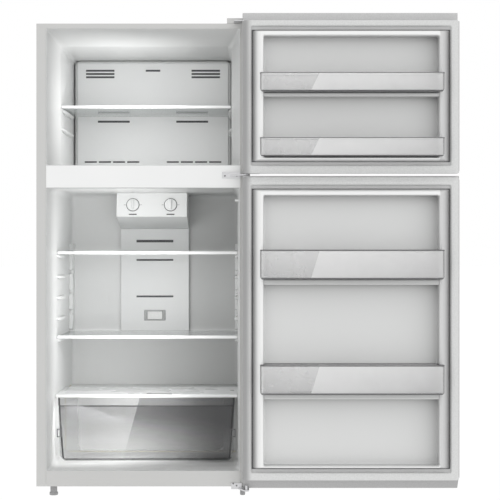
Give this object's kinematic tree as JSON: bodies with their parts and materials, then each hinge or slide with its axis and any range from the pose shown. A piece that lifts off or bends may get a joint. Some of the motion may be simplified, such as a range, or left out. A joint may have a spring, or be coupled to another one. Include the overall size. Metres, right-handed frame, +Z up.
{
  "type": "top freezer refrigerator",
  "caption": "Two-door refrigerator with the freezer above, doors open on a right-hand hinge line, sliding glass shelves, a crisper drawer and lift-out clear door bins.",
  "frame": {"origin": "on the floor under the middle of the box that holds the refrigerator with both doors fully open, which is in line with the door hinges", "axes": "+Z up, -Y towards a person in front of the cabinet, +X to that person's right"},
  "size_m": [1.474, 0.778, 1.69],
  "materials": {
    "painted_steel": "satin light grey paint",
    "white_liner": "vacuum-formed white plastic, soft gloss",
    "white_plastic": "moulded white plastic, soft gloss",
    "door_caps": "light grey moulded plastic, satin",
    "insulation_foam": "rigid foam",
    "galvanised_steel": "galvanised sheet",
    "zinc_steel": "zinc plated",
    "black_steel": "black enamel",
    "aluminium_fins": "mill finish",
    "dark_plastic": "dark moulded plastic",
    "gasket_vinyl": "soft grey vinyl",
    "rubber_gland": "black rubber",
    "shelf_glass": "clear toughened glass",
    "clear_plastic": "clear moulded plastic"
  },
  "bodies": {
    "cabinet": {"cabinet_shell": "painted_steel", "front_base_rail": "painted_steel", "top_hinge_cover": "painted_steel", "fridge_liner": "white_liner", "freezer_liner": "white_liner", "mullion_cover": "white_liner", "evaporator_cover": "white_plastic", "air_duct_panel": "white_plastic", "control_housing": "white_plastic", "shelf_support_left": "white_plastic", "shelf_support_right": "white_plastic", "drain_tube": "white_plastic", "cabinet_foam": "insulation_foam", "rear_panel": "galvanised_steel", "bottom_panel": "galvanised_steel", "compressor_base": "galvanised_steel", "machine_cover": "galvanised_steel", "top_hinge_bracket": "zinc_steel", "middle_hinge_bracket": "zinc_steel", "bottom_hinge_bracket": "zinc_steel", "compressor": "black_steel", "evaporator_coil": "aluminium_fins", "evaporator_fan_motor": "dark_plastic", "cord_gland": "rubber_gland", "lamp_lens": "clear_plastic"},
    "freezer_door": {"freezer_door_skin": "painted_steel", "freezer_door_liner": "white_liner", "freezer_door_foam": "insulation_foam", "freezer_door_gasket": "gasket_vinyl", "freezer_door_top_cap": "door_caps", "freezer_door_bottom_cap": "door_caps"},
    "fridge_door": {"fridge_door_skin": "painted_steel", "fridge_door_liner": "white_liner", "fridge_door_foam": "insulation_foam", "fridge_door_gasket": "gasket_vinyl", "fridge_door_top_cap": "door_caps", "fridge_door_bottom_cap": "door_caps"},
    "freezer_bin_lower": {"freezer_bin_lower": "clear_plastic"},
    "freezer_bin_upper": {"freezer_bin_upper": "clear_plastic"},
    "fridge_bin_lower": {"fridge_bin_lower": "clear_plastic"},
    "fridge_bin_upper": {"fridge_bin_upper": "clear_plastic"},
    "crisper_drawer": {"crisper_drawer": "clear_plastic"},
    "crisper_cover": {"crisper_cover_frame": "white_plastic", "crisper_cover_glass": "shelf_glass"},
    "humidity_slider": {"humidity_slider": "dark_plastic"},
    "freezer_shelf": {"freezer_shelf_glass": "shelf_glass", "freezer_shelf_trim": "white_plastic"},
    "upper_shelf": {"upper_shelf_glass": "shelf_glass", "upper_shelf_trim": "white_plastic"},
    "lower_shelf": {"lower_shelf_glass": "shelf_glass", "lower_shelf_trim": "white_plastic"},
    "freezer_dial": {"freezer_dial": "white_plastic"},
    "fridge_dial": {"fridge_dial": "white_plastic"},
    "air_damper": {"air_damper": "white_plastic"},
    "evaporator_fan": {"evaporator_fan": "dark_plastic"},
    "door_switch_plunger": {"door_switch_plunger": "white_plastic"},
    "levelling_foot_left": {"levelling_foot_left": "dark_plastic"},
    "levelling_foot_right": {"levelling_foot_right": "dark_plastic"},
    "rear_roller_left": {"rear_roller_left": "dark_plastic"},
    "rear_roller_right": {"rear_roller_right": "dark_plastic"}
  },
  "joints": [
    {"name": "freezer_door_hinge", "type": "hinge", "parent": "cabinet", "child": "freezer_door", "pos_m": [0, -0.291, 1.4], "axis": [0, 0, 1], "range_deg": [-180, 0]},
    {"name": "fridge_door_hinge", "type": "hinge", "parent": "cabinet", "child": "fridge_door", "pos_m": [0, -0.291, 0.6], "axis": [0, 0, 1], "range_deg": [-180, 0]},
    {"name": "freezer_bin_lower_lift", "type": "slide", "parent": "freezer_door", "child": "freezer_bin_lower", "axis": [0, 0, 1], "range_m": [0, 0.03]},
    {"name": "freezer_bin_upper_lift", "type": "slide", "parent": "freezer_door", "child": "freezer_bin_upper", "axis": [0, 0, 1], "range_m": [0, 0.03]},
    {"name": "fridge_bin_lower_lift", "type": "slide", "parent": "fridge_door", "child": "fridge_bin_lower", "axis": [0, 0, 1], "range_m": [0, 0.03]},
    {"name": "fridge_bin_upper_lift", "type": "slide", "parent": "fridge_door", "child": "fridge_bin_upper", "axis": [0, 0, 1], "range_m": [0, 0.03]},
    {"name": "crisper_drawer_slide", "type": "slide", "parent": "cabinet", "child": "crisper_drawer", "axis": [0, -1, 0], "range_m": [0, 0.2]},
    {"name": "crisper_cover_slide", "type": "slide", "parent": "cabinet", "child": "crisper_cover", "axis": [0, -1, 0], "range_m": [0, 0.1]},
    {"name": "humidity_slide", "type": "slide", "parent": "crisper_cover", "child": "humidity_slider", "axis": [1, 0, 0], "range_m": [0, 0.072]},
    {"name": "freezer_shelf_slide", "type": "slide", "parent": "cabinet", "child": "freezer_shelf", "axis": [0, -1, 0], "range_m": [0, 0.1]},
    {"name": "upper_shelf_slide", "type": "slide", "parent": "cabinet", "child": "upper_shelf", "axis": [0, -1, 0], "range_m": [0, 0.15]},
    {"name": "lower_shelf_slide", "type": "slide", "parent": "cabinet", "child": "lower_shelf", "axis": [0, -1, 0], "range_m": [0, 0.15]},
    {"name": "freezer_dial_turn", "type": "hinge", "parent": "cabinet", "child": "freezer_dial", "pos_m": [-0.434, 0.14125, 1.034], "axis": [0, -0.9867, 0.1626], "range_deg": [-135, 135]},
    {"name": "fridge_dial_turn", "type": "hinge", "parent": "cabinet", "child": "fridge_dial", "pos_m": [-0.29, 0.14125, 1.034], "axis": [0, -0.9867, 0.1626], "range_deg": [-135, 135]},
    {"name": "air_damper_turn", "type": "hinge", "parent": "cabinet", "child": "air_damper", "pos_m": [-0.362, 0.264, 1.031], "axis": [1, 0, 0], "range_deg": [-45, 45]},
    {"name": "evaporator_fan_spin", "type": "hinge", "parent": "cabinet", "child": "evaporator_fan", "pos_m": [-0.362, 0.244, 1.48], "axis": [0, 1, 0], "continuous": true},
    {"name": "door_switch_press", "type": "slide", "parent": "cabinet", "child": "door_switch_plunger", "axis": [1, 0, 0], "range_m": [0, 0.004], "stiffness_N_per_m": 200},
    {"name": "levelling_foot_left_turn", "type": "hinge", "parent": "cabinet", "child": "levelling_foot_left", "pos_m": [-0.679, -0.229, 0], "axis": [0, 0, 1], "continuous": true},
    {"name": "levelling_foot_right_turn", "type": "hinge", "parent": "cabinet", "child": "levelling_foot_right", "pos_m": [-0.013, -0.229, 0], "axis": [0, 0, 1], "continuous": true},
    {"name": "rear_roller_left_roll", "type": "hinge", "parent": "cabinet", "child": "rear_roller_left", "pos_m": [-0.662, 0.349, 0.016], "axis": [1, 0, 0], "continuous": true},
    {"name": "rear_roller_right_roll", "type": "hinge", "parent": "cabinet", "child": "rear_roller_right", "pos_m": [-0.062, 0.349, 0.016], "axis": [1, 0, 0], "continuous": true}
  ],
  "couplings": [
    {"joint": "air_damper_turn", "follows": "freezer_dial_turn", "ratio": 0.33333}
  ]
}
